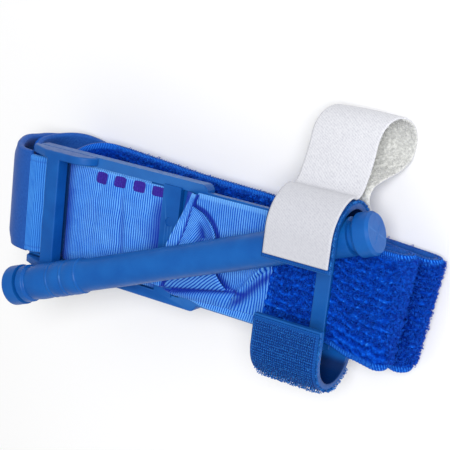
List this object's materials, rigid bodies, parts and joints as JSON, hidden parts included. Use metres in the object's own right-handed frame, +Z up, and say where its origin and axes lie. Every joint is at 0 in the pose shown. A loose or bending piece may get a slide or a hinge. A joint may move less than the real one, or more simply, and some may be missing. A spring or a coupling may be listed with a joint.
{
  "type": "windlass tourniquet",
  "caption": "Windlass limb tourniquet folded for carrying: band with buckle and plate, rod held in a two-horn clip, and a loop strap over it",
  "frame": {"origin": "on the pack's flat underside, straight below the windlass rod's turning axis on the band's centre line", "axes": "+X along the band from the buckle to the rod clip, +Y across the band to the side the strap's loop hangs, +Z up, away from the surface the pack lies on"},
  "size_m": [0.1831, 0.0916, 0.061],
  "materials": {
    "blue_plastic": "moulded nylon, satin",
    "rod_plastic": "moulded glass-filled nylon, fine grain",
    "hook_tape": "hook tape",
    "white_tape": "smooth woven face, brushed loop back",
    "white_thread": "thread",
    "light_ribbon": "cross-ribbed webbing",
    "purple_print": "printed ink on webbing",
    "blue_thread": "thread",
    "pile_tape": "loop pile with woven edges",
    "plain_liner": "plain woven tape",
    "red_tab": "woven tab"
  },
  "bodies": {
    "pack": {"stabilization_plate": "blue_plastic", "buckle_frame": "blue_plastic", "windlass_clip": "blue_plastic", "upper_hook_patch": "hook_tape", "lower_hook_patch": "hook_tape", "strap_loop": "white_tape", "strap_stitching": "white_thread", "window_ribbon": "light_ribbon", "ribbon_anchor": "light_ribbon", "print_marks": "purple_print", "left_riser": "light_ribbon", "right_riser": "light_ribbon", "ribbon_run": "light_ribbon", "sleeve_bartack": "blue_thread", "upper_pile_tape": "pile_tape", "upper_inner_ribbon": "light_ribbon", "upper_liner": "plain_liner", "upper_stitching": "blue_thread", "inner_fold": "pile_tape", "outer_fold": "pile_tape", "buckle_turn": "light_ribbon", "running_fold": "plain_liner"},
    "windlass": {"windlass_rod": "rod_plastic", "slot_ribbon": "light_ribbon"},
    "strap_front": {"strap_flap": "white_tape"},
    "lower_band": {"lower_pile_tape": "pile_tape", "lower_inner_ribbon": "light_ribbon", "lower_liner": "plain_liner", "lower_stitching": "blue_thread", "running_end": "plain_liner", "tip_tab": "red_tab"}
  },
  "joints": [
    {"name": "windlass_turn", "type": "hinge", "parent": "pack", "child": "windlass", "pos_m": [0.00143, -0.0024, 0.04171], "axis": [0.1219, 0, 0.9925], "range_deg": [-37, 0], "deforming": ["left_riser", "right_riser"]},
    {"name": "strap_peel", "type": "hinge", "parent": "pack", "child": "strap_front", "pos_m": [0.04938, 0.0332, 0.03431], "axis": [-0.9925, 0, 0.1219], "range_deg": [0, 110]},
    {"name": "band_unfold", "type": "hinge", "parent": "pack", "child": "lower_band", "pos_m": [-0.07811, 0, 0.02206], "axis": [0, 1, 0], "range_deg": [0, 187], "deforming": ["inner_fold", "outer_fold", "running_fold"]}
  ]
}
